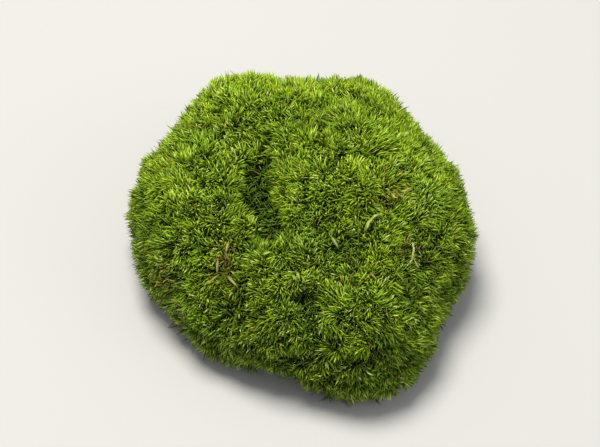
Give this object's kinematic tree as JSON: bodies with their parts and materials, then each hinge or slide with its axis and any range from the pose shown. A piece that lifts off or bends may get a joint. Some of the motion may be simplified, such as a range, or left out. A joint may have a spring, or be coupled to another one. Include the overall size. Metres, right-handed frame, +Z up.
{
  "type": "moss clump",
  "caption": "Lobed cushion of preserved green moss with a flat matted underside, and a dry stalk and a forked twig caught in its top.",
  "frame": {"origin": "centre of the clump's outline, on the flat underside that it rests on", "axes": "+Z up from the flat underside, -Y towards the viewer, +X to the viewer's right"},
  "size_m": [0.1204, 0.124, 0.0648],
  "materials": {
    "moss": "matte, bristly",
    "dry_straw": "satin",
    "dry_twig_bark": "matte"
  },
  "bodies": {
    "root": {"moss_cushion": "moss", "dry_stalk": "dry_straw", "forked_twig": "dry_twig_bark"}
  },
  "joints": []
}
